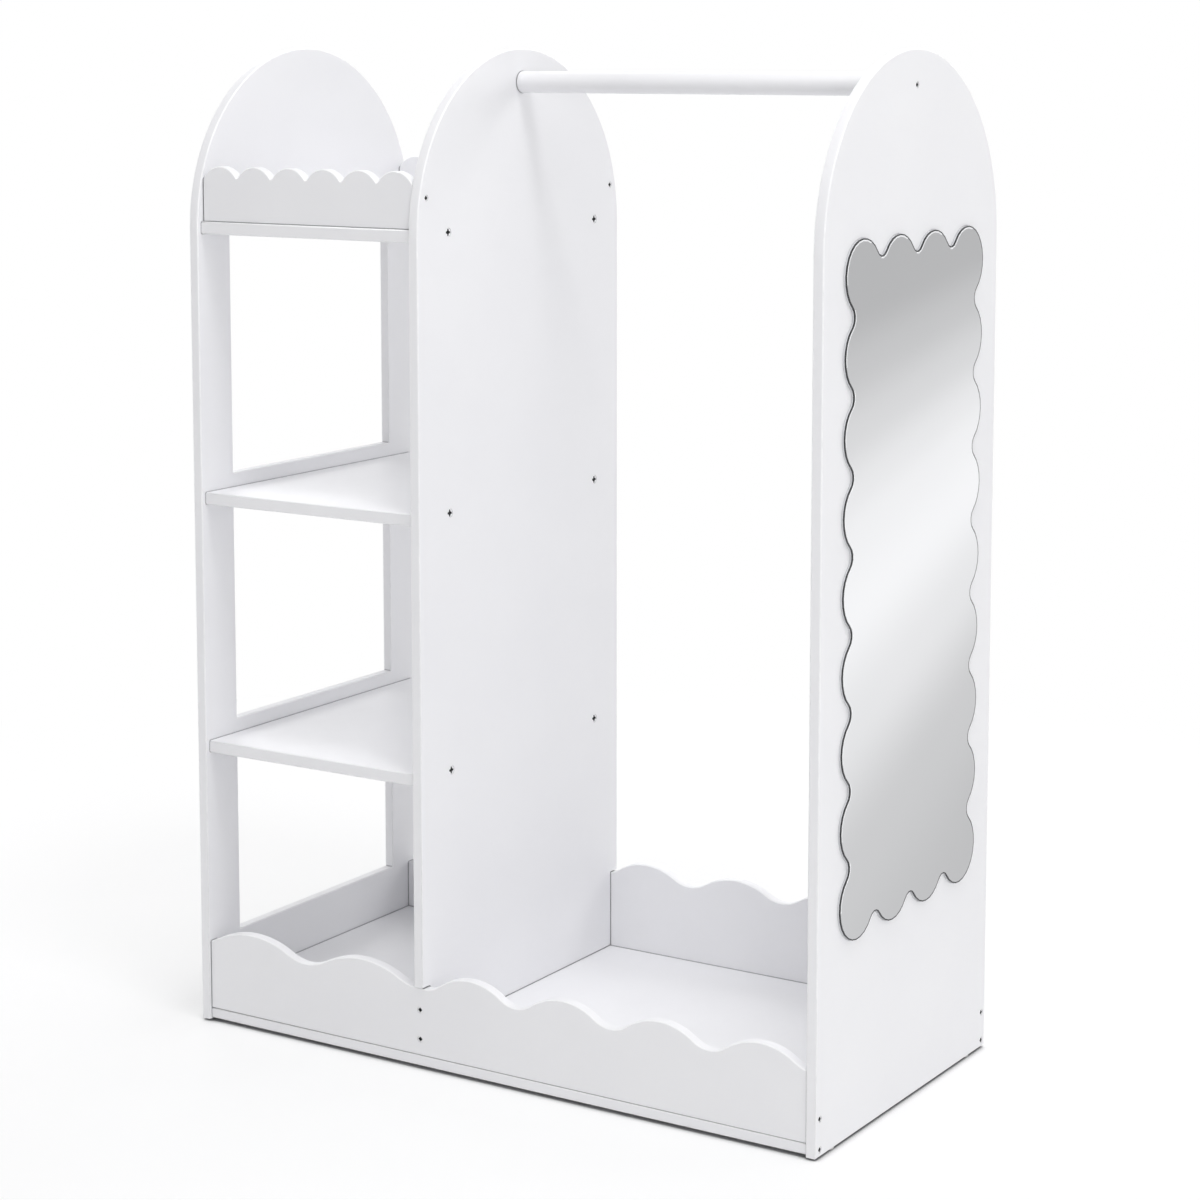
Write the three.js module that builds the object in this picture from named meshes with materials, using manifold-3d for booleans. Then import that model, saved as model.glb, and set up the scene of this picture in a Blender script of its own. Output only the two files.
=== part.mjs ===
// Children's coat rack with shelves, a hanging rod and a wavy mirror.
// Millimetres, +Z up. The front faces -Y and the mirror is on the +X side.
import * as THREE from "three";
import { mergeVertices } from "three/addons/utils/BufferGeometryUtils.js";
import Module from "manifold-3d";

const wasm = await Module();
wasm.setup();

// Whole object. While it is built, x runs from the left side's outer face, y from the front
// and z from the floor. The group moves it to the middle of its box at the end.
const width = 800;
const depth = 400;
const height = 1113;
const board = 12;
const shelfThick = 14;
const easedEdge = 1;

// Small plastic glides under the two side panels
const glideHigh = 2.5;
const glideRadius = 5;
const glideInset = 40;

// The three upright boards end in a half circle
const archRadius = depth / 2;
const archCentre = height - archRadius;
const middleLeft = 302;
const middleRight = middleLeft + board;
const rightInner = width - board;

// Base: thin battens near the floor, wavy rails on them and a deck between the rails
const railSet = 2.5;
const battenLow = 4;
const railLow = battenLow + board;
const railBack = railSet + board;
const deckTop = 38;
const seat = 1.2;

// Shelf levels are the top faces. The tray stands a little above the arch's centre.
const trayAboveArch = 8;
const topBay = 305.5;
const middleBay = 286;
const trayShelf = archCentre + trayAboveArch;
const upperShelf = trayShelf - topBay;
const lowerShelf = upperShelf - middleBay;
const shelfSet = 6;

// Windows in the left side panel
const sill = 16.5;
const lowestSill = 96;
const frontJamb = 56;
const rearJamb = 46;

// Scalloped rails of the top tray
const traySet = 10;
const trayRailHigh = 62;
const lobeCount = 6;
const lobeRise = 15;
const cuspRadius = 2;
const sideGap = 0.5;

// Waves of the two long rails. Each half wave is two arcs, the crest's arc the wider one.
const crestShare = 0.67;
const frontCrest = 111;
const frontValley = 91.5;
const backCrest = 145;
const backValley = 127.5;
const shelfHalfWave = 78;
const openHalfWave = 60;
const backFirstHalf = 54;
const backHalfWave = 62;

// Mirror: round lobes on a grid, joined by small hollows
const mirrorThick = 3;
const lobePitch = 80;
const lobeCountAcross = 4;
const lobeCountUp = 9;
const lobeRadius = 38;
const hollowRadius = 12.5;
const mirrorLow = 210;

// Hanging rod
const rodRadius = 12;
const rodBelowTop = 37;
const rodCentre = height - rodBelowTop;
const rodChamfer = 1.5;

// Two kinds of countersunk screw
const fit = 0.3;
const bigScrew = { head: 5, shank: 2.6, length: 42, slot: 6.4, slotWide: 1.6 };
const smallScrew = { head: 3.4, shank: 1.7, length: 34, slot: 4.4, slotWide: 1.2 };
const slotDeep = 1.6;
const headSink = 0.3;

// Where the screws stand: heights from the floor, or a distance from the board that they hold
const railScrew = 42;
const shelfScrewFront = 57;
const shelfScrewBack = 51;
const shelfScrewDrop = 4.5;
const trayScrewUp = 34;
const frontHighScrew = 67;
const backHighScrew = 90;
const deckScrewDrop = 4;

const root = new THREE.Group();
const materials = {
  board: { color: 0xf2f2f3, roughness: 0.45 },
  mirror: { color: 0xd8dadc, roughness: 0.05, metalness: 1 },
  screw: { color: 0xe4e4e4, roughness: 0.35, metalness: 0.3 },
  glide: { color: 0x8c8c8c, roughness: 0.6 },
};
const solids = {};
const finish = {};

// A closed three.js geometry as a solid that can be cut
function solidFrom(geometry) {
  const bare = geometry.index ? geometry.toNonIndexed() : geometry;
  bare.deleteAttribute("normal");
  bare.deleteAttribute("uv");
  const merged = mergeVertices(bare, 1e-4);
  const mesh = new wasm.Mesh({
    numProp: 3,
    vertProperties: merged.attributes.position.array,
    triVerts: new Uint32Array(merged.index.array),
  });
  return new wasm.Manifold(mesh);
}

function keep(name, solid, kind = "board") {
  solids[name] = solid;
  finish[name] = kind;
}

// Points of an arc, end points included
function arc(cx, cy, radius, from, to, steps) {
  const points = [];
  for (let i = 0; i <= steps; i++) {
    const angle = from + ((to - from) * i) / steps;
    points.push(new THREE.Vector2(cx + radius * Math.cos(angle), cy + radius * Math.sin(angle)));
  }
  return points;
}

function spot(x, y) {
  return new THREE.Vector2(x, y);
}

// One outline without points that fall on the one before
function outline(points) {
  const kept = points.filter((p, i) => i === 0 || p.distanceTo(points[i - 1]) > 0.02);
  if (kept[0].distanceTo(kept[kept.length - 1]) < 0.02) kept.pop();
  return kept;
}

function boardGeometry(points, thick, edge, holes = []) {
  const shape = new THREE.Shape(outline(points));
  for (const hole of holes) shape.holes.push(new THREE.Path(hole));
  const geometry = new THREE.ExtrudeGeometry(shape, {
    depth: thick - 2 * edge,
    bevelEnabled: edge > 0,
    bevelThickness: edge,
    bevelSize: edge,
    bevelOffset: -edge,
    bevelSegments: 1,
    curveSegments: 1,
  });
  return geometry.translate(0, 0, edge);
}

const across = new THREE.Matrix4().makeBasis(
  new THREE.Vector3(0, 1, 0),
  new THREE.Vector3(0, 0, 1),
  new THREE.Vector3(1, 0, 0),
);

// Upright board: outline in y and z, its left face at x
function uprightBoard(points, x, thick = board, holes = [], edge = easedEdge) {
  const geometry = boardGeometry(points, thick, edge, holes);
  return solidFrom(geometry.applyMatrix4(across).translate(x, 0, 0));
}

// Rail: outline in x and z, its front face at y
function railBoard(points, y, thick = board) {
  const geometry = boardGeometry(points, thick, easedEdge);
  return solidFrom(geometry.rotateX(Math.PI / 2).translate(0, y + thick, 0));
}

// Level board between two corners, its top face at z
function levelBoard(x0, x1, y0, y1, z, thick) {
  const corners = [spot(x0, y0), spot(x1, y0), spot(x1, y1), spot(x0, y1)];
  return solidFrom(boardGeometry(corners, thick, easedEdge).translate(0, 0, z - thick));
}

function archTop() {
  return arc(archRadius, archCentre, archRadius, 0, Math.PI, 40);
}

function rectangle(y0, y1, z0, z1) {
  return [spot(y0, z0), spot(y0, z1), spot(y1, z1), spot(y1, z0)];
}

// Left side: an arched board with a square window above each level
function leftSidePanel() {
  const points = [spot(0, glideHigh), spot(depth, glideHigh), ...archTop()];
  const levels = [
    [lowestSill, lowerShelf - shelfThick],
    [lowerShelf + sill, upperShelf - shelfThick],
    [upperShelf + sill, trayShelf - shelfThick],
  ];
  const windows = levels.map(([low, high]) => rectangle(frontJamb, depth - rearJamb, low, high));
  keep("left_side_panel", uprightBoard(points, 0, board, windows));
}

// Middle board: it stands on the deck and reaches out over both wavy rails
function middlePanel() {
  const frontFoot = railBack + fit;
  const rearFoot = depth - railBack - fit;
  const points = [
    spot(0, frontValley + seat),
    spot(frontFoot, frontValley + seat),
    spot(frontFoot, deckTop),
    spot(rearFoot, deckTop),
    spot(rearFoot, backValley + seat),
    spot(depth, backValley + seat),
    ...archTop(),
  ];
  keep("middle_panel", uprightBoard(points, middleLeft));
}

function rightSidePanel() {
  const points = [spot(0, glideHigh), spot(depth, glideHigh), ...archTop()];
  keep("right_side_panel", uprightBoard(points, rightInner));
}

// Top edge of a wavy rail through its crests and valleys, level at each of them
function wave(turns) {
  const points = [spot(turns[0][0], turns[0][1])];
  for (let i = 1; i < turns.length; i++) {
    const [x0, z0] = turns[i - 1];
    const [x1, z1] = turns[i];
    const run = x1 - x0;
    const rise = z1 - z0;
    if (rise === 0) {
      points.push(spot(x1, z1));
      continue;
    }
    const both = (run * run + rise * rise) / (2 * Math.abs(rise));
    const swing = Math.asin(run / both);
    const crest = both * crestShare;
    const valley = both - crest;
    const up = Math.PI / 2;
    if (rise > 0) {
      points.push(...arc(x0, z0 + valley, valley, -up, -up + swing, 5).slice(1));
      points.push(...arc(x1, z1 - crest, crest, up + swing, up, 6).slice(1));
    } else {
      points.push(...arc(x0, z0 - crest, crest, up, up - swing, 6).slice(1));
      points.push(...arc(x1, z1 + valley, valley, -up - swing, -up, 5).slice(1));
    }
  }
  return points;
}

// Crests and valleys: the shelf bay's long waves, a level stretch under the middle board,
// then the open bay's shorter ones
function turnsOfWave(levels, open) {
  const start = middleLeft + 4;
  const turns = levels.map((z, i) => [start - (levels.length - i) * shelfHalfWave, z]);
  turns.push([start, open.valley], [open.start, open.valley]);
  let x = open.start + open.firstHalf;
  for (let i = 1; turns[turns.length - 1][0] < rightInner; i++) {
    turns.push([x, i % 2 ? open.crest : open.valley]);
    x += open.halfWave;
  }
  return turns;
}

// A wavy rail is trimmed to the length between the two side panels
function wavyRail(name, turns, y) {
  const top = wave(turns);
  const first = top[0].x;
  const last = top[top.length - 1].x;
  const points = [spot(first, railLow), spot(last, railLow), ...top.reverse()];
  const trimmed = clip(points, board, rightInner);
  keep(name, railBoard(trimmed, y));
}

// The part of an outline between two upright lines
function clip(points, low, high) {
  let kept = points;
  for (const [line, side] of [[low, 1], [high, -1]]) {
    const next = [];
    kept.forEach((p, i) => {
      const q = kept[(i + 1) % kept.length];
      const inside = (p.x - line) * side >= 0;
      if (inside) next.push(p);
      if (inside !== (q.x - line) * side >= 0) {
        const part = (line - p.x) / (q.x - p.x);
        next.push(spot(line, p.y + (q.y - p.y) * part));
      }
    });
    kept = next;
  }
  return kept;
}

function base() {
  const frontLevels = [frontValley, frontCrest, frontValley, frontCrest];
  const frontOpen = {
    start: middleRight,
    firstHalf: openHalfWave,
    halfWave: openHalfWave,
    crest: frontCrest,
    valley: frontValley,
  };
  wavyRail("front_wavy_rail", turnsOfWave(frontLevels, frontOpen), railSet);

  // Behind the shelves the back rail starts as low as the front one and climbs to the open bay
  const climb = (backValley - frontValley) / 3;
  const backLevels = [frontValley, frontCrest, frontValley + climb, frontCrest + 2 * climb];
  const backOpen = {
    start: (middleLeft + middleRight) / 2,
    firstHalf: backFirstHalf,
    halfWave: backHalfWave,
    crest: backCrest,
    valley: backValley,
  };
  wavyRail("back_wavy_rail", turnsOfWave(backLevels, backOpen), depth - railBack);

  keep("floor_deck", levelBoard(board, rightInner, railBack, depth - railBack, deckTop, board));
  for (const [name, y] of [["front_batten", railSet], ["back_batten", depth - railBack]]) {
    keep(name, levelBoard(board, rightInner, y, y + board, railLow, board));
  }
}

function shelves() {
  for (const [name, z] of [
    ["lower_shelf", lowerShelf],
    ["upper_shelf", upperShelf],
    ["tray_shelf", trayShelf],
  ]) {
    keep(name, levelBoard(board, middleLeft, shelfSet, depth - shelfSet, z, shelfThick));
  }
}

// Scalloped rail: round lobes that meet in narrow rounded valleys
function trayRails() {
  const long = middleLeft - board - 2 * sideGap;
  const pitch = long / lobeCount;
  const radius = (pitch * pitch) / (8 * lobeRise) + lobeRise / 2;
  const atEnd = Math.asin(pitch / 2 / radius);
  const reach = radius + cuspRadius;
  const atCusp = Math.asin(pitch / 2 / reach);
  const centre = trayShelf + trayRailHigh - radius;
  const cuspCentre = centre + reach * Math.cos(atCusp);
  const start = board + sideGap;
  const up = Math.PI / 2;
  const points = [spot(start + long, trayShelf), spot(start, trayShelf)];
  for (let i = 0; i < lobeCount; i++) {
    const left = i === 0 ? atEnd : atCusp;
    const last = i === lobeCount - 1;
    const right = last ? atEnd : atCusp;
    points.push(...arc(start + (i + 0.5) * pitch, centre, radius, up + left, up - right, 10));
    if (!last) {
      const x = start + (i + 1) * pitch;
      points.push(...arc(x, cuspCentre, cuspRadius, -up - atCusp, -up + atCusp, 4).slice(1, -1));
    }
  }
  points.reverse();
  keep("tray_front_rail", railBoard(points, traySet));
  keep("tray_back_rail", railBoard(points, depth - traySet - board));
}

// Mirror: big arcs round each lobe and small arcs in the hollows, all tangent
function mirror() {
  const high = (lobeCountUp - 1) * lobePitch + 2 * lobeRadius;
  const wide = (lobeCountAcross - 1) * lobePitch + 2 * lobeRadius;
  const y0 = (depth - wide) / 2 + lobeRadius;
  const z0 = mirrorLow + lobeRadius;
  const y1 = y0 + (lobeCountAcross - 1) * lobePitch;
  const z1 = mirrorLow + high - lobeRadius;
  const reach = lobeRadius + hollowRadius;
  const half = Math.asin(lobePitch / 2 / reach);
  const out = reach * Math.cos(half);
  const sides = [
    { y: y0, z: z0, dy: 1, dz: 0, lobes: lobeCountAcross },
    { y: y1, z: z0, dy: 0, dz: 1, lobes: lobeCountUp },
    { y: y1, z: z1, dy: -1, dz: 0, lobes: lobeCountAcross },
    { y: y0, z: z1, dy: 0, dz: -1, lobes: lobeCountUp },
  ];
  const points = [];
  for (const side of sides) {
    const facing = Math.atan2(-side.dy, side.dz);
    for (let i = 0; i < side.lobes; i++) {
      const y = side.y + side.dy * lobePitch * i;
      const z = side.z + side.dz * lobePitch * i;
      const last = i === side.lobes - 1;
      if (i > 0) {
        const end = last ? facing + Math.PI / 2 + half : facing + half;
        points.push(...arc(y, z, lobeRadius, facing - half, end, last ? 14 : 8));
      }
      if (!last) {
        const hy = y + (side.dy * lobePitch) / 2 + Math.cos(facing) * out;
        const hz = z + (side.dz * lobePitch) / 2 + Math.sin(facing) * out;
        points.push(...arc(hy, hz, hollowRadius, facing + Math.PI + half,
          facing + Math.PI - half, 5));
      }
    }
  }
  keep("mirror", uprightBoard(points, width, mirrorThick, [], 0), "mirror");
}

// Profiles are turned about the y axis, then laid along x
function turned(profile, steps) {
  const points = profile.map(([r, along]) => spot(r, along));
  const geometry = new THREE.LatheGeometry(points, steps);
  return geometry.rotateZ(-Math.PI / 2);
}

function hangingRod() {
  const long = rightInner - middleRight;
  const inner = rodRadius - rodChamfer;
  const profile = [
    [0, 0],
    [inner, 0],
    [rodRadius, rodChamfer],
    [rodRadius, long - rodChamfer],
    [inner, long],
    [0, long],
  ];
  const geometry = turned(profile, 32).translate(middleRight, archRadius, rodCentre);
  keep("hanging_rod", solidFrom(geometry));
}

function glides() {
  for (const [side, x] of [["left", board / 2], ["right", width - board / 2]]) {
    for (const [end, y] of [["front", glideInset], ["back", depth - glideInset]]) {
      const profile = [
        [0, 0],
        [glideRadius - 0.6, 0],
        [glideRadius, 0.6],
        [glideRadius, glideHigh],
        [0, glideHigh],
      ];
      const geometry = new THREE.LatheGeometry(profile.map(([r, z]) => spot(r, z)), 16);
      geometry.rotateX(Math.PI / 2).translate(x, y, 0);
      keep("glide_" + side + "_" + end, solidFrom(geometry), "glide");
    }
  }
}

// Screw body along +x, its head's face at 0. A positive gap makes the hole for it.
function screwShape(kind, gap) {
  const cone = kind.head - kind.shank;
  const open = gap > 0 ? -1 : 0;
  const profile = [
    [0, open],
    [kind.head + gap, open],
    [kind.head + gap, headSink],
    [kind.shank + gap, headSink + cone],
    [kind.shank + gap, kind.length - kind.shank + gap],
    [0, kind.length + gap],
  ];
  if (!gap) profile.splice(1, 2, [kind.head, 0], [kind.head, headSink]);
  return turned(profile, 10);
}

// Cross recess in the head
function recess(kind) {
  const bar = (a, b) => solidFrom(new THREE.BoxGeometry(slotDeep * 2, a, b));
  return bar(kind.slot, kind.slotWide).add(bar(kind.slotWide, kind.slot));
}

// Drives one screw through one board into the next and cuts its hole in both
function drive(name, kind, through, into, place, direction) {
  const turn = new THREE.Quaternion().setFromUnitVectors(
    new THREE.Vector3(1, 0, 0),
    new THREE.Vector3(...direction),
  );
  const sunk = new THREE.Vector3(...place).addScaledVector(new THREE.Vector3(...direction), headSink);
  const at = new THREE.Matrix4().compose(sunk, turn, new THREE.Vector3(1, 1, 1));
  const body = solidFrom(screwShape(kind, 0)).subtract(recess(kind));
  keep(name, body.transform(at.elements), "screw");
  const hole = solidFrom(screwShape(kind, fit)).transform(at.elements);
  for (const cut of [through, into]) solids[cut] = solids[cut].subtract(hole);
}

function screws() {
  const inX = [1, 0, 0];
  const outX = [-1, 0, 0];
  const railMiddle = railSet + board / 2;
  const trayMiddle = traySet + board / 2 + 1;
  const ends = [
    ["front", railMiddle],
    ["back", depth - railMiddle],
  ];
  const faces = [
    ["left", "left_side_panel", 0, inX],
    ["right", "right_side_panel", width, outX],
  ];

  // Wavy rails and battens are held from both side panels
  for (const [side, panel, x, way] of faces) {
    for (const [end, y] of ends) {
      drive("screw_" + side + "_" + end + "_rail", smallScrew, panel, end + "_wavy_rail",
        [x, y, railScrew], way);
      drive("screw_" + side + "_" + end + "_batten", smallScrew, panel, end + "_batten",
        [x, y, railLow - board / 2], way);
    }
  }

  // Shelves and tray rails are held from the left panel and from the middle board
  const bay = [
    ["left", "left_side_panel", 0, inX],
    ["middle", "middle_panel", middleRight, outX],
  ];
  for (const [side, panel, x, way] of bay) {
    for (const [shelf, top] of [["lower", lowerShelf], ["upper", upperShelf], ["tray", trayShelf]]) {
      for (const [end, y] of [["front", shelfScrewFront], ["back", depth - shelfScrewBack]]) {
        drive("screw_" + side + "_" + shelf + "_" + end, bigScrew, panel, shelf + "_shelf",
          [x, y, top - shelfScrewDrop], way);
      }
    }
    for (const [end, y] of [["front", trayMiddle], ["back", depth - trayMiddle]]) {
      drive("screw_" + side + "_tray_rail_" + end, smallScrew, panel, "tray_" + end + "_rail",
        [x, y, trayShelf + trayScrewUp], way);
    }
  }

  // The rod is held from its two ends
  drive("screw_rod_left", smallScrew, "middle_panel", "hanging_rod",
    [middleLeft, archRadius, rodCentre], inX);
  drive("screw_rod_right", smallScrew, "right_side_panel", "hanging_rod",
    [width, archRadius, rodCentre], outX);

  // The rails hold the middle board and the deck's edges
  const middle = (middleLeft + middleRight) / 2;
  for (const [end, y, way, high] of [
    ["front", railSet, [0, 1, 0], frontHighScrew],
    ["back", depth - railSet, [0, -1, 0], backHighScrew],
  ]) {
    drive("screw_" + end + "_rail_high", smallScrew, end + "_wavy_rail", "middle_panel",
      [middle, y, high], way);
    drive("screw_" + end + "_rail_low", smallScrew, end + "_wavy_rail", "floor_deck",
      [middle, y, deckTop - deckScrewDrop], way);
  }
}

leftSidePanel();
middlePanel();
rightSidePanel();
base();
shelves();
trayRails();
mirror();
hangingRod();
glides();
screws();

for (const [name, solid] of Object.entries(solids)) {
  const made = solid.getMesh();
  const geometry = new THREE.BufferGeometry();
  geometry.setAttribute("position", new THREE.BufferAttribute(made.vertProperties, 3));
  geometry.setIndex(new THREE.BufferAttribute(made.triVerts, 1));
  const mesh = new THREE.Mesh(geometry, new THREE.MeshStandardMaterial(materials[finish[name]]));
  mesh.name = name;
  root.add(mesh);
}
root.position.set(-(width + mirrorThick) / 2, -depth / 2, 0);

export default root;
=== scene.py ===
import math

import bmesh
import bpy
from mathutils import Matrix, Vector


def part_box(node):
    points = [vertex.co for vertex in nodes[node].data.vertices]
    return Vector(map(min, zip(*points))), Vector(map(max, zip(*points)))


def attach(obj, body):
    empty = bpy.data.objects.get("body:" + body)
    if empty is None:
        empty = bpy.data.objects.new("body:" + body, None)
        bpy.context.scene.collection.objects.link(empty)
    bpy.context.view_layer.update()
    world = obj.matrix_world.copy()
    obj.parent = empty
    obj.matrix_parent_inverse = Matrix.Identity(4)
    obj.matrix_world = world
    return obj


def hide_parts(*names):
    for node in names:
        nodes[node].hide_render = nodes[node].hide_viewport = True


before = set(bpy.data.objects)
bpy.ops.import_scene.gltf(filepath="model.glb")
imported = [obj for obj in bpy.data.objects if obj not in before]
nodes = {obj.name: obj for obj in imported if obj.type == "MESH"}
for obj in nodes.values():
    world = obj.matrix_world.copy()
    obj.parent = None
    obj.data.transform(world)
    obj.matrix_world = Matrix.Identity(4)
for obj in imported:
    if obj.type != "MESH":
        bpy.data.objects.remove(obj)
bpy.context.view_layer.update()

scene = bpy.context.scene
mm = 0.001
print("frame loaded:", len(nodes), "CAD nodes")


# Shared helpers

def toLinear(hexColour):
    # sRGB hex to the linear colour that the shaders take
    linear = []
    for i in (1, 3, 5):
        value = int(hexColour[i:i + 2], 16) / 255
        linear.append(value / 12.92 if value <= 0.04045 else ((value + 0.055) / 1.055) ** 2.4)
    return (*linear, 1.0)


def addNode(tree, kind, settings=None, inputs=None):
    # settings are the node's own choices; inputs are values or the outputs that feed them
    node = tree.nodes.new(kind)
    for name, value in (settings or {}).items():
        setattr(node, name, value)
    for name, value in (inputs or {}).items():
        if isinstance(value, bpy.types.NodeSocket):
            tree.links.new(value, node.inputs[name])
        else:
            node.inputs[name].default_value = value
    return node


def startMaterial(name):
    material = bpy.data.materials.new(name)
    material.use_nodes = True
    material.node_tree.nodes.clear()
    return material, material.node_tree


def finishPiece(name, mesh, materials, replaced):
    # turns the bmesh into an object at the origin that rides with the rack
    data = bpy.data.meshes.new(name)
    mesh.to_mesh(data)
    mesh.free()
    piece = bpy.data.objects.new(name, data)
    scene.collection.objects.link(piece)
    for material in materials:
        data.materials.append(material)
    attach(piece, "root")
    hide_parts(*replaced)
    return piece


def pointKey(point):
    # the same for points less than a tenth of a micrometre apart, so that they can be looked up
    return tuple(round(c, 7) for c in point)


joining = {
    "weldMm": 0.002,
    "flatDegrees": 0.4,
}


def copyOfNode(nodeName):
    # the CAD node's loose triangles, joined into whole flat faces
    mesh = bmesh.new()
    mesh.from_mesh(nodes[nodeName].data)
    bmesh.ops.remove_doubles(mesh, verts=mesh.verts, dist=joining["weldMm"] * mm)
    bmesh.ops.dissolve_limit(mesh, angle_limit=math.radians(joining["flatDegrees"]),
                             verts=mesh.verts, edges=mesh.edges)
    return mesh


# Camera, fitted to the photograph's straight edges

camera = {
    "place": (1.70058, -2.65827, 1.11058),
    "facing": (-0.53178, 0.83857, -0.11837),
    "lensMm": 86.03,
    "sensorMm": 36,
    "shiftUp": -0.173,
    "seesToM": 100,
}


def makeCamera():
    data = bpy.data.cameras.new("camera")
    data.lens = camera["lensMm"]
    data.sensor_width = camera["sensorMm"]
    data.shift_y = camera["shiftUp"]
    data.clip_end = camera["seesToM"]
    made = bpy.data.objects.new("camera", data)
    made.location = camera["place"]
    made.rotation_euler = Vector(camera["facing"]).to_track_quat("-Z", "Y").to_euler()
    scene.collection.objects.link(made)
    scene.camera = made


makeCamera()
print("camera placed")


# Lacquer: MDF boards sprayed with satin white lacquer, which is flat and even, very faintly
# clouded, and blurs its reflections with a fine orange peel. The rounded edges are painted a
# touch brighter in patches, a painted highlight that draws them as fine pale lines.

lacquer = {
    "light": "#efeff1",
    "shade": "#e9e9ec",
    # painted highlight on the rounded edges
    "edgeHighlight": "#fbfbfc",
    "cloudMm": 160,
    "cloudDetail": 3.0,
    "peelMm": 7,  # real orange peel is near 2 mm, too fine to show here
    "peelDetail": 1.5,
    "peelDeepMm": 0.012,
    "rubMm": 9,
    "rubDetail": 4.0,
    "rubFrom": 0.3,
    "rubTo": 0.7,
    "edgeHighlightShare": 0.9,
    "smooth": 0.48,
    "dull": 0.6,
    "ior": 1.5,
    # painted shade where boards meet
    "jointShade": "#68686c",
    "jointMm": 1.8,
    "jointOpen": 0.92,
    "jointShut": 0.5,
    "jointShadeShare": 0.6,
    "jointSamples": 8,
}


def sprayedLacquer(name, values):
    material, tree = startMaterial(name)
    place = addNode(tree, "ShaderNodeTexCoord").outputs["Object"]
    cloud = addNode(tree, "ShaderNodeTexNoise", inputs={
        "Vector": place, "Scale": 1 / (values["cloudMm"] * mm), "Detail": values["cloudDetail"]})
    rub = addNode(tree, "ShaderNodeTexNoise", inputs={
        "Vector": place, "Scale": 1 / (values["rubMm"] * mm), "Detail": values["rubDetail"]})
    peel = addNode(tree, "ShaderNodeTexNoise", inputs={
        "Vector": place, "Scale": 1 / (values["peelMm"] * mm), "Detail": values["peelDetail"]})
    coat = addNode(tree, "ShaderNodeMix", {"data_type": "RGBA"}, {
        0: cloud.outputs[0], 6: toLinear(values["shade"]), 7: toLinear(values["light"])})
    # painted highlight: the narrow rounded edges are painted a brighter white in patches, which
    # draws them as fine pale lines
    edge = addNode(tree, "ShaderNodeAttribute", {"attribute_name": "edge"})
    patchyEdgeHighlight = addNode(tree, "ShaderNodeMath", {"operation": "MULTIPLY"}, {
        0: edge.outputs["Fac"], 1: rub.outputs[0]})
    edgeHighlightShare = addNode(tree, "ShaderNodeMath", {"operation": "MULTIPLY"}, {
        0: patchyEdgeHighlight.outputs[0], 1: values["edgeHighlightShare"]})
    colour = addNode(tree, "ShaderNodeMix", {"data_type": "RGBA"}, {
        0: edgeHighlightShare.outputs[0], 6: coat.outputs[2], 7: toLinear(values["edgeHighlight"])})
    # painted shade: ambient occlusion over a short reach darkens the coat wherever two boards
    # meet or a part stands close, which draws each joint as a fine dark line
    gap = addNode(tree, "ShaderNodeAmbientOcclusion", {"samples": values["jointSamples"]}, {
        "Distance": values["jointMm"] * mm})
    shut = addNode(tree, "ShaderNodeMapRange", inputs={
        "Value": gap.outputs["AO"],
        "From Min": values["jointOpen"], "From Max": values["jointShut"],
        "To Min": 0.0, "To Max": values["jointShadeShare"]})
    jointShaded = addNode(tree, "ShaderNodeMix", {"data_type": "RGBA"}, {
        0: shut.outputs[0], 6: colour.outputs[2], 7: toLinear(values["jointShade"])})
    gloss = addNode(tree, "ShaderNodeMapRange", inputs={
        "Value": rub.outputs[0], "From Min": values["rubFrom"], "From Max": values["rubTo"],
        "To Min": values["smooth"], "To Max": values["dull"]})
    bump = addNode(tree, "ShaderNodeBump", inputs={
        "Height": peel.outputs[0], "Strength": 1.0, "Distance": values["peelDeepMm"] * mm})
    shader = addNode(tree, "ShaderNodeBsdfPrincipled", inputs={
        "Base Color": jointShaded.outputs[2], "Roughness": gloss.outputs[0],
        "Normal": bump.outputs[0], "IOR": values["ior"]})
    addNode(tree, "ShaderNodeOutputMaterial", inputs={"Surface": shader.outputs[0]})
    return material


boardLacquer = sprayedLacquer("satin_lacquer_on_mdf", lacquer)


# Boards

boards = {
    "names": [
        "left_side_panel", "middle_panel", "right_side_panel",
        "tray_shelf", "upper_shelf", "lower_shelf", "tray_front_rail", "tray_back_rail",
        "floor_deck", "front_wavy_rail", "back_wavy_rail", "front_batten", "back_batten",
    ],
    "softenMm": 0.38,  # rounds both sides of the CAD board's eased edge
    "segments": 2,
    "screwHoleMm": 3.5,  # edges shorter than this are screw holes and stay as they are
    "bendFromDegrees": 30,  # the CAD board's eased edges bend by 45
    "bendToDegrees": 60,
    "edgeWideMm": 1.6,
    "levelShare": 0.99999,
}


def boardEdges(mesh):
    low = math.radians(boards["bendFromDegrees"])
    high = math.radians(boards["bendToDegrees"])
    short = boards["screwHoleMm"] * mm
    return [e for e in mesh.edges
            if e.is_manifold and low < e.calc_face_angle(0) < high and e.calc_length() > short]


def makeBoard(name):
    mesh = copyOfNode(name)
    bmesh.ops.bevel(mesh, geom=boardEdges(mesh), affect="EDGES", offset=boards["softenMm"] * mm,
                    segments=boards["segments"], profile=0.5, material=-1, clamp_overlap=True)
    # the narrow rounded edge faces are marked for the coat's painted highlight
    edgeHighlightShare = mesh.faces.layers.float.new("edge")
    for face in mesh.faces:
        longest = max(e.calc_length() for e in face.edges)
        narrow = face.calc_area() < longest * boards["edgeWideMm"] * mm
        level = max(abs(c) for c in face.normal) > boards["levelShare"]
        face[edgeHighlightShare] = 1.0 if narrow and not level else 0.0
        face.smooth = not level
    finishPiece("board_" + name, mesh, [boardLacquer], [name])


for boardName in boards["names"]:
    makeBoard(boardName)
print("boards made:", len(boards["names"]))


# Mirror: silvered acrylic sheet, laser cut with a polished edge. It reflects nearly as glass
# does but a little greyer and softer. A fine dark line of painted shade runs round its edge,
# with a painted glint inside it on the upper left.

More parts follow.
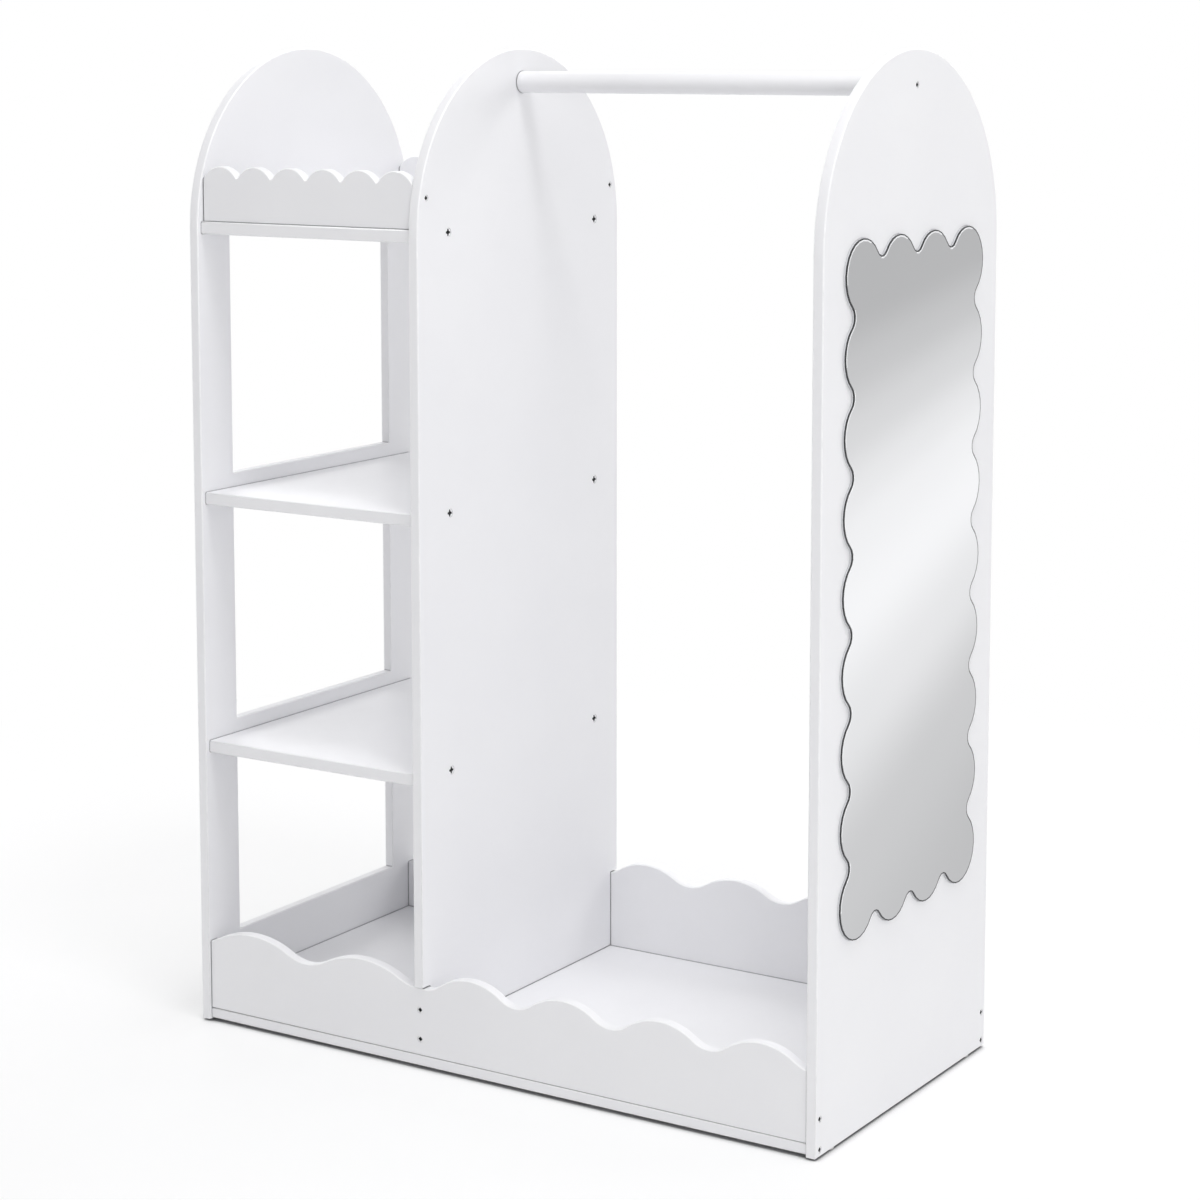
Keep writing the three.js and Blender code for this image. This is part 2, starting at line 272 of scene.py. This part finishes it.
mirror = {
    "node": "mirror",
    "bisectMm": 0.001,
    "rimMm": 1.3,
    "glintMm": 1.6,
    "darkShare": 0.5,
    "glintWay": (0, -0.72, 0.69),
    "glintFrom": 0.5,
    "silver": "#f8f8fa",
    "greyer": "#f4f5f7",
    # painted shade on the sheet's edge
    "rim": "#303134",
    "clear": "#d6d7da",
    # painted glint on the rim
    "glintColour": "#f2f3f5",
    "rippleMm": 180,
    "rippleDeepMm": 0.02,
    "smooth": 0.035,
    "dull": 0.06,
    "cutRough": 0.15,
    "glintRough": 0.12,
    "chatterMm": 2.5,
    "chatterSwing": 0.3,
    "edgeIor": 1.49,
}


def silveredSheet(name):
    material, tree = startMaterial(name)
    place = addNode(tree, "ShaderNodeTexCoord").outputs["Object"]
    ripple = addNode(tree, "ShaderNodeTexNoise", inputs={
        "Vector": place, "Scale": 1 / (mirror["rippleMm"] * mm), "Detail": 1.0})
    gloss = addNode(tree, "ShaderNodeMapRange", inputs={
        "Value": ripple.outputs[0], "To Min": mirror["smooth"], "To Max": mirror["dull"]})
    tint = addNode(tree, "ShaderNodeMix", {"data_type": "RGBA"}, {
        0: ripple.outputs[0], 6: toLinear(mirror["greyer"]), 7: toLinear(mirror["silver"])})
    bump = addNode(tree, "ShaderNodeBump", inputs={
        "Height": ripple.outputs[0], "Strength": 1.0, "Distance": mirror["rippleDeepMm"] * mm})
    shader = addNode(tree, "ShaderNodeBsdfPrincipled", inputs={
        "Base Color": tint.outputs[2], "Metallic": 1.0, "Roughness": gloss.outputs[0],
        "Normal": bump.outputs[0]})
    addNode(tree, "ShaderNodeOutputMaterial", inputs={"Surface": shader.outputs[0]})
    return material


def cutEdge(name, hexColour, roughness):
    # polished acrylic edge with faint chatter from the cutter left in it
    material, tree = startMaterial(name)
    place = addNode(tree, "ShaderNodeTexCoord").outputs["Object"]
    chatter = addNode(tree, "ShaderNodeTexNoise", inputs={
        "Vector": place, "Scale": 1 / (mirror["chatterMm"] * mm), "Detail": 2.0})
    gloss = addNode(tree, "ShaderNodeMapRange", inputs={
        "Value": chatter.outputs[0],
        "To Min": roughness * (1 - mirror["chatterSwing"]),
        "To Max": roughness * (1 + mirror["chatterSwing"])})
    shader = addNode(tree, "ShaderNodeBsdfPrincipled", inputs={
        "Base Color": toLinear(hexColour), "Roughness": gloss.outputs[0],
        "IOR": mirror["edgeIor"]})
    addNode(tree, "ShaderNodeOutputMaterial", inputs={"Surface": shader.outputs[0]})
    return material


def outwardWays(front):
    # at each corner of the sheet's front, which way its outline faces
    ways = {}
    for loop in front.loops:
        along = (loop.link_loop_next.vert.co - loop.vert.co).normalized()
        ways[pointKey(loop.vert.co)] = along.cross(front.normal)
    return ways


def addRim(mesh, front, wide, pick):
    # insets the front by one ring, whose faces take the material that pick gives them
    ways = outwardWays(front)
    ring = bmesh.ops.inset_region(mesh, faces=[front], thickness=wide * mm,
                                  use_even_offset=True)
    for face in ring["faces"]:
        found = [ways[pointKey(v.co)] for v in face.verts if pointKey(v.co) in ways]
        # how far each ring face looks towards the upper left, where the painted glint goes
        facing = sum(way.dot(Vector(mirror["glintWay"])) for way in found) / max(len(found), 1)
        face.material_index = pick(facing)
        face.smooth = False


def makeMirror():
    mesh = copyOfNode(mirror["node"])
    low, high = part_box(mirror["node"])
    # the sheet's side is cut in two: clear plastic towards the board, and painted dark towards the
    # front as shade on the edge
    where = high.x - (high.x - low.x) * mirror["darkShare"]
    bmesh.ops.bisect_plane(mesh, geom=mesh.verts[:] + mesh.edges[:] + mesh.faces[:],
                           dist=mirror["bisectMm"] * mm,
                           plane_co=(where, 0, 0), plane_no=(1, 0, 0))
    front = max(mesh.faces, key=lambda f: f.calc_center_median().x * (f.normal.x > 0.9))
    sheet, dark, glint, clear = range(4)
    for face in mesh.faces:
        face.material_index = dark if face.calc_center_median().x > where else clear
        face.smooth = abs(face.normal.x) < 0.5
    # the outer ring of the front is painted dark, a painted shade on the edge
    addRim(mesh, front, mirror["rimMm"], lambda facing: dark)
    # the next ring is painted as a glint where it faces the upper left
    addRim(mesh, front, mirror["glintMm"],
           lambda facing: glint if facing > mirror["glintFrom"] else sheet)
    front.material_index = sheet
    front.smooth = False
    finishPiece("mirror_sheet_piece", mesh, [
        silveredSheet("silvered_acrylic"),
        # painted shade: the dark rim and the front of the sheet's side
        cutEdge("painted_shade_acrylic_edge", mirror["rim"], mirror["cutRough"]),
        # painted highlight: the glint on the upper left of the rim
        cutEdge("painted_glint_acrylic_rim", mirror["glintColour"], mirror["glintRough"]),
        cutEdge("clear_acrylic_edge", mirror["clear"], mirror["cutRough"]),
    ], [mirror["node"]])


makeMirror()
print("mirror made")


# Hanging rod: turned beech, sanded and sprayed with the same white. It shines a little more than
# the boards, so a soft pale line runs along its top.

rod = {
    "node": "hanging_rod",
    "sides": 64,
    "endMm": 1.5,
    "endSegments": 4,
    "rimDegrees": 80,
    "levelShare": 0.999,
    "smooth": 0.32,
    "dull": 0.42,
}


def makeRod():
    low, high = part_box(rod["node"])
    radius = (high.z - low.z) / 2
    mesh = bmesh.new()
    bmesh.ops.create_cone(mesh, cap_ends=True, segments=rod["sides"], radius1=radius,
                          radius2=radius, depth=high.x - low.x)
    sharp = math.radians(rod["rimDegrees"])
    rims = [e for e in mesh.edges if e.calc_face_angle(0) > sharp]
    bmesh.ops.bevel(mesh, geom=rims, affect="EDGES", offset=rod["endMm"] * mm,
                    segments=rod["endSegments"], profile=0.5, material=-1)
    turn = Matrix.Rotation(math.pi / 2, 4, "Y")
    bmesh.ops.transform(mesh, matrix=Matrix.Translation((low + high) / 2) @ turn, verts=mesh.verts)
    for face in mesh.faces:
        face.smooth = abs(face.normal.x) < rod["levelShare"]
    finish = {**lacquer, "smooth": rod["smooth"], "dull": rod["dull"]}
    rodLacquer = sprayedLacquer("satin_lacquer_on_beech", finish)
    finishPiece("rod", mesh, [rodLacquer], [rod["node"]])


makeRod()
print("rod made")


# Screws: countersunk steel, powder coated white, which dulls and softens them. The cross
# recess is painted near black, a painted shade that shows as a small dark star.

screw = {
    "coat": "#eeeef0",
    # painted shade in the cross recess
    "recess": "#18181b",
    "sides": 48,
    "sinkMm": 0.3,
    "deepMm": 2.2,
    "taper": 0.55,
    "wellPoint": 1.15,
    "tipShare": 0.5,
    "softenMm": 0.18,
    "bigHeadMm": 4.2,
    "coatRough": 0.35,
    "recessShadeRough": 0.5,
    "gritMm": 1.11,  # real powder grit is near 0.2 mm, too fine to show here
    "gritDeepMm": 0.01,
    "gritSwing": 0.2,
    "kinds": {
        "big": {"shankMm": 2.6, "armMm": 3.9, "armWideMm": 1.15, "wellMm": 2.5},
        "small": {"shankMm": 1.7, "armMm": 2.4, "armWideMm": 0.9, "wellMm": 2.0},
    },
}


def coatedSteelAndShade(name, hexColour, roughness):
    material, tree = startMaterial(name)
    place = addNode(tree, "ShaderNodeTexCoord").outputs["Object"]
    grit = addNode(tree, "ShaderNodeTexNoise", inputs={
        "Vector": place, "Scale": 1 / (screw["gritMm"] * mm), "Detail": 2.0})
    gloss = addNode(tree, "ShaderNodeMapRange", inputs={
        "Value": grit.outputs[0],
        "To Min": roughness * (1 - screw["gritSwing"]),
        "To Max": roughness * (1 + screw["gritSwing"])})
    bump = addNode(tree, "ShaderNodeBump", inputs={
        "Height": grit.outputs[0], "Strength": 1.0, "Distance": screw["gritDeepMm"] * mm})
    shader = addNode(tree, "ShaderNodeBsdfPrincipled", inputs={
        "Base Color": toLinear(hexColour), "Roughness": gloss.outputs[0],
        "Normal": bump.outputs[0]})
    addNode(tree, "ShaderNodeOutputMaterial", inputs={"Surface": shader.outputs[0]})
    return material


def recessReach(kind, angle):
    # outline of a cross recess with a round well in its middle
    sine = abs(math.sin(angle))
    cosine = abs(math.cos(angle))
    long, thin = max(sine, cosine), min(sine, cosine)
    arm = min(kind["armMm"] / long, kind["armWideMm"] / max(thin, 1e-6))
    return max(kind["wellMm"], arm) * mm


def placeRing(verts, reach, depth):
    # each point of a ring goes to its reach at its own angle, and down to the ring's depth
    for vert in verts:
        angle = math.atan2(vert.co.y, vert.co.x)
        vert.co = (reach(angle) * math.cos(angle), reach(angle) * math.sin(angle), -depth)


def growRing(mesh, edges, reach, depth, index):
    # draws the open rim out to the next ring and returns the new rim
    grown = bmesh.ops.extrude_edge_only(mesh, edges=edges)["geom"]
    placeRing([part for part in grown if isinstance(part, bmesh.types.BMVert)], reach, depth)
    for part in grown:
        if isinstance(part, bmesh.types.BMFace):
            part.material_index = index
    return [part for part in grown if isinstance(part, bmesh.types.BMEdge) and part.is_boundary]


def settleOrder(parts, key):
    # an extrusion leaves its points and faces in an order that changes from run to run
    for index, part in enumerate(sorted(parts, key=key)):
        part.index = index
    parts.sort()


def measureScrew(nodeName):
    # which way the screw points, how wide its head is, and where the head's face lies
    low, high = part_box(nodeName)
    size = high - low
    axis = max(range(3), key=lambda i: size[i])
    place = (low + high) / 2
    across = [i for i in range(3) if i != axis]
    points = [v.co for v in nodes[nodeName].data.vertices]
    reach = [math.hypot(*(p[i] - place[i] for i in across)) for p in points]
    head = max(reach)
    headEnd = points[reach.index(head)][axis]
    outward = 1 if headEnd > place[axis] else -1
    way = Vector([outward if i == axis else 0 for i in range(3)])
    place[axis] = headEnd
    return way, place, head, size[axis]


def makeScrew(nodeName, coat, recessShade):
    way, place, head, long = measureScrew(nodeName)
    kind = screw["kinds"]["big" if head > screw["bigHeadMm"] * mm else "small"]
    shank = kind["shankMm"] * mm
    sink = screw["sinkMm"] * mm
    deep = screw["deepMm"] * mm

    mesh = bmesh.new()
    bmesh.ops.create_circle(mesh, cap_ends=True, cap_tris=True, segments=screw["sides"],
                            radius=shank)
    rim = [edge for edge in mesh.edges if edge.is_boundary]
    placeRing([vert for vert in mesh.verts if vert.is_boundary],
              lambda angle: recessReach(kind, angle) * screw["taper"], deep)
    bottom = min(mesh.verts, key=lambda vert: vert.co.xy.length)
    bottom.co = (0, 0, -deep * screw["wellPoint"])
    # the recess faces take the second material, painted near black as shade
    for face in mesh.faces:
        face.material_index = 1
    rim = growRing(mesh, rim, lambda angle: recessReach(kind, angle), 0, 1)
    outline = (
        (head - screw["softenMm"] * mm, 0),
        (head, screw["softenMm"] * mm),
        (head, sink),
        (shank, sink + head - shank),
        (shank, long - shank),
    )
    for radius, depth in outline:
        rim = growRing(mesh, rim, lambda angle: radius, depth, 0)
    growRing(mesh, rim, lambda angle: shank * screw["tipShare"], long, 0)
    bmesh.ops.pointmerge(mesh, verts=[vert for vert in mesh.verts if vert.is_boundary],
                         merge_co=(0, 0, -long))
    turn = way.to_track_quat("Z", "Y").to_matrix().to_4x4()
    bmesh.ops.transform(mesh, matrix=Matrix.Translation(place) @ turn, verts=mesh.verts)
    bmesh.ops.recalc_face_normals(mesh, faces=mesh.faces)
    settleOrder(mesh.verts, lambda vert: pointKey(vert.co))
    settleOrder(mesh.faces, lambda face: pointKey(face.calc_center_median()))
    finishPiece(nodeName.replace("screw_", "fastener_"), mesh, [coat, recessShade], [nodeName])


screwCoat = coatedSteelAndShade("white_coated_steel", screw["coat"], screw["coatRough"])
# the recess material is painted near black, standing for the shade in the recess
screwRecessShade = coatedSteelAndShade("painted_recess_shade", screw["recess"], screw["recessShadeRough"])
for nodeName in sorted(nodes):
    if nodeName.startswith("screw_"):
        makeScrew(nodeName, screwCoat, screwRecessShade)


# Glides: polyethylene buttons, injection moulded, which gives them a dull, faintly grained skin

glide = {
    "colour": "#c9c9c9",
    "roughness": 0.5,
    "grainMm": 0.83,
    "grainDeepMm": 0.02,
}


def mouldedPlastic(name, hexColour, roughness):
    material, tree = startMaterial(name)
    place = addNode(tree, "ShaderNodeTexCoord").outputs["Object"]
    grain = addNode(tree, "ShaderNodeTexNoise", inputs={
        "Vector": place, "Scale": 1 / (glide["grainMm"] * mm), "Detail": 2.0})
    bump = addNode(tree, "ShaderNodeBump", inputs={
        "Height": grain.outputs[0], "Strength": 1.0, "Distance": glide["grainDeepMm"] * mm})
    shader = addNode(tree, "ShaderNodeBsdfPrincipled", inputs={
        "Base Color": toLinear(hexColour), "Roughness": roughness, "Normal": bump.outputs[0]})
    addNode(tree, "ShaderNodeOutputMaterial", inputs={"Surface": shader.outputs[0]})
    return material


glidePlastic = mouldedPlastic("moulded_polyethylene", glide["colour"], glide["roughness"])
for nodeName, node in nodes.items():
    if nodeName.startswith("glide_"):
        for materialSlot in node.material_slots:
            materialSlot.material = glidePlastic
print("screws and glides finished")


# Studio: white paper floor, one key lamp overhead and soft weak ones all round

studio = {
    "world": 0.385,
    "lamps": {
        "key": {"place": (0.9, -0.65, 3.2), "aim": (-0.1, 0, 0.9), "size": 0.7, "watts": 20},
        "over": {"place": (0.1, -0.2, 3.2), "aim": (0, 0, 0.4), "size": 2.6, "watts": 11.5},
        "frontHigh": {"place": (2.0, -2.0, 3.6), "aim": (0, 0, 0.6), "size": 1.5, "watts": 11},
        "frontAbove": {"place": (-0.2, -1.6, 3.4), "aim": (0, 0, 0.6), "size": 1.5, "watts": 10},
        "frontRight": {"place": (1.9, -2.6, 1.0), "aim": (0, 0, 0.5), "size": 1.6, "watts": 13},
        "lowRight": {"place": (2.4, -0.6, 0.5), "aim": (0, 0, 0.3), "size": 1.4, "watts": 7.5},
        "rearRight": {"place": (2.6, 2.2, 2.0), "aim": (0, 0, 0.5), "size": 1.8, "watts": 19.5},
        "backHigh": {"place": (0.4, 3.6, 3.2), "aim": (0, 0, 0.5), "size": 3.0, "watts": 26},
        "backLow": {"place": (-0.6, 2.6, 0.9), "aim": (0, 0, 0.5), "size": 1.8, "watts": 12},
        "leftBack": {"place": (-2.5, 1.8, 2.2), "aim": (0, 0, 0.6), "size": 1.8, "watts": 21},
        "leftLow": {"place": (-2.2, -0.6, 0.8), "aim": (0, 0, 0.5), "size": 1.5, "watts": 7},
    },
    "hiddenInMirror": ("lowRight", "frontRight", "leftLow"),
    "paper": "#f7f7f7",
    "seenPaper": "#fafafb",
    # painted shade in the crack under the rack
    "crackShade": "#7c7c7e",
    # painted shadow on the left of the rack
    "shadowed": "#a8a8ab",
    "floorM": 30,
    "shadowShare": 0.4,
    # each shade of the paper has a reach in metres, and is full where the paper is as shut in as
    # the one value says and gone where it is as open as the other says
    "contactM": 0.03,
    "contactShut": 0.35,
    "contactOpen": 0.9,
    "crackM": 0.012,
    "crackShut": 0.25,
    "crackOpen": 0.8,
    "wideM": 0.35,
    "wideShut": 0.45,
    "wideOpen": 1.0,
    "shadeSamples": 8,
    "wideSamples": 12,
    "shadowFrom": -0.36,
    "shadowTo": -0.46,
    "fadeNear": 0.9,
    "fadeFar": 1.8,
    # the painted reflection strip on the floor
    "bandWay": (0.957, -0.291),
    "band": {0.1: 0.93, 0.45: 0.57, 0.6: 0.65, 0.75: 0.86, 0.92: 1.0, 1.1: 0.95, 1.2: 0.88,
             1.4: 0.74, 1.7: 0.61, 2.1: 0.51},
}


def makeWorld():
    world = bpy.data.worlds.new("studio")
    scene.world = world
    world.use_nodes = True
    tree = world.node_tree
    tree.nodes.clear()
    rays = addNode(tree, "ShaderNodeLightPath")
    seen = addNode(tree, "ShaderNodeMath", {"operation": "MAXIMUM"}, {
        0: rays.outputs["Is Camera Ray"], 1: rays.outputs["Is Glossy Ray"]})
    seenToo = addNode(tree, "ShaderNodeMath", {"operation": "MAXIMUM"}, {
        0: seen.outputs[0], 1: rays.outputs["Is Transmission Ray"]})
    strength = addNode(tree, "ShaderNodeMapRange", inputs={
        "Value": seenToo.outputs[0], "To Min": studio["world"], "To Max": 1.0})
    sky = addNode(tree, "ShaderNodeBackground", inputs={
        "Color": (1, 1, 1, 1), "Strength": strength.outputs[0]})
    addNode(tree, "ShaderNodeOutputWorld", inputs={"Surface": sky.outputs[0]})


def stripOfLight(tree, place):
    # painted reflection: a glow on the floor that only mirrors and glass see, a pale strip that
    # fades to grey on both sides, which stands for what a mirror shows of the studio
    across = addNode(tree, "ShaderNodeVectorMath", {"operation": "DOT_PRODUCT"}, {
        0: place, 1: (*studio["bandWay"], 0)})
    last = max(studio["band"])
    along = addNode(tree, "ShaderNodeMath", {"operation": "DIVIDE"}, {
        0: across.outputs["Value"], 1: last})
    ramp = addNode(tree, "ShaderNodeValToRGB", inputs={"Fac": along.outputs[0]})
    ramp.color_ramp.interpolation = "EASE"
    stops = ramp.color_ramp.elements
    while len(stops) > 1:
        stops.remove(stops[-1])
    for i, (distance, strength) in enumerate(studio["band"].items()):
        stop = stops[0] if i == 0 else stops.new(distance / last)
        stop.position = distance / last
        stop.color = (strength, strength, strength, 1)
    glow = addNode(tree, "ShaderNodeEmission", inputs={
        "Color": ramp.outputs["Color"], "Strength": 1.0})
    return glow.outputs[0]


def makeFloor():
    mesh = bmesh.new()
    bmesh.ops.create_grid(mesh, x_segments=1, y_segments=1, size=studio["floorM"])
    data = bpy.data.meshes.new("paper_floor")
    mesh.to_mesh(data)
    mesh.free()
    floor = bpy.data.objects.new("paper_floor", data)
    scene.collection.objects.link(floor)
    material, tree = startMaterial("seamless_paper")
    place = addNode(tree, "ShaderNodeTexCoord").outputs["Object"]
    far = addNode(tree, "ShaderNodeVectorMath", {"operation": "LENGTH"}, {0: place})
    fade = addNode(tree, "ShaderNodeMapRange", {"interpolation_type": "SMOOTHSTEP"}, {
        "Value": far.outputs["Value"],
        "From Min": studio["fadeNear"], "From Max": studio["fadeFar"],
        "To Min": 1 - studio["shadowShare"], "To Max": 1.0})
    # close under the rack the paper is wholly its own lit self, so the contact shadow stays dark
    touch = addNode(tree, "ShaderNodeAmbientOcclusion", {"samples": studio["shadeSamples"]}, {
        "Distance": studio["contactM"]})
    near = addNode(tree, "ShaderNodeMapRange", {"interpolation_type": "SMOOTHSTEP"}, {
        "Value": touch.outputs["AO"],
        "From Min": studio["contactShut"], "From Max": studio["contactOpen"]})
    seen = addNode(tree, "ShaderNodeMath", {"operation": "MULTIPLY"}, {
        0: fade.outputs[0], 1: near.outputs[0]})
    rays = addNode(tree, "ShaderNodeLightPath")
    # the paper that the camera sees is set lower than the paper that lights the rack, because
    # lit paper would clip to white and hide the rack's soft shadow
    # painted shade: the seen paper darkens to grey in the narrow crack under the rack's bottom
    # edges
    tight = addNode(tree, "ShaderNodeAmbientOcclusion", {"samples": studio["shadeSamples"]}, {
        "Distance": studio["crackM"]})
    crackShaded = addNode(tree, "ShaderNodeMapRange", inputs={
        "Value": tight.outputs["AO"],
        "From Min": studio["crackShut"], "From Max": studio["crackOpen"]})
    # painted shadow: a wide soft shade is painted on the paper on the left of the rack, as if the
    # light came from the right
    wide = addNode(tree, "ShaderNodeAmbientOcclusion", {"samples": studio["wideSamples"]}, {
        "Distance": studio["wideM"]})
    dim = addNode(tree, "ShaderNodeMapRange", {"interpolation_type": "SMOOTHSTEP"}, {
        "Value": wide.outputs["AO"],
        "From Min": studio["wideOpen"], "From Max": studio["wideShut"]})
    axes = addNode(tree, "ShaderNodeSeparateXYZ", inputs={"Vector": place})
    leftward = addNode(tree, "ShaderNodeMapRange", {"interpolation_type": "SMOOTHSTEP"}, {
        "Value": axes.outputs["X"],
        "From Min": studio["shadowFrom"], "From Max": studio["shadowTo"]})
    leftShadow = addNode(tree, "ShaderNodeMath", {"operation": "MULTIPLY"}, {
        0: dim.outputs[0], 1: leftward.outputs[0]})
    shadedPaper = addNode(tree, "ShaderNodeMix", {"data_type": "RGBA"}, {
        0: leftShadow.outputs[0],
        6: toLinear(studio["seenPaper"]), 7: toLinear(studio["shadowed"])})
    seenPaper = addNode(tree, "ShaderNodeMix", {"data_type": "RGBA"}, {
        0: crackShaded.outputs[0], 6: toLinear(studio["crackShade"]), 7: shadedPaper.outputs[2]})
    paperColour = addNode(tree, "ShaderNodeMix", {"data_type": "RGBA"}, {
        0: rays.outputs["Is Camera Ray"], 6: toLinear(studio["paper"]), 7: seenPaper.outputs[2]})
    lit = addNode(tree, "ShaderNodeBsdfDiffuse", inputs={"Color": paperColour.outputs[2]})
    white = addNode(tree, "ShaderNodeEmission", inputs={"Color": (1, 1, 1, 1), "Strength": 1.0})
    share = addNode(tree, "ShaderNodeMath", {"operation": "MULTIPLY"}, {
        0: seen.outputs[0], 1: rays.outputs["Is Camera Ray"]})
    paper = addNode(tree, "ShaderNodeMixShader", inputs={
        0: share.outputs[0], 1: lit.outputs[0], 2: white.outputs[0]})
    # reflections and refractions see the painted strip instead of the paper
    reflected = addNode(tree, "ShaderNodeMath", {"operation": "MAXIMUM"}, {
        0: rays.outputs["Is Glossy Ray"], 1: rays.outputs["Is Transmission Ray"]})
    whole = addNode(tree, "ShaderNodeMixShader", inputs={
        0: reflected.outputs[0], 1: paper.outputs[0], 2: stripOfLight(tree, place)})
    addNode(tree, "ShaderNodeOutputMaterial", inputs={"Surface": whole.outputs[0]})
    data.materials.append(material)


def makeLamps():
    for name, values in studio["lamps"].items():
        data = bpy.data.lights.new(name + "_lamp", "AREA")
        data.shape = "DISK"
        data.size = values["size"]
        data.energy = values["watts"]
        lamp = bpy.data.objects.new(name + "_lamp", data)
        lamp.location = values["place"]
        way = Vector(values["aim"]) - Vector(values["place"])
        lamp.rotation_euler = way.to_track_quat("-Z", "Y").to_euler()
        lamp.visible_camera = False
        lamp.visible_glossy = name not in studio["hiddenInMirror"]
        scene.collection.objects.link(lamp)


makeWorld()
makeFloor()
makeLamps()
scene.view_settings.view_transform = "Standard"
print("studio made")
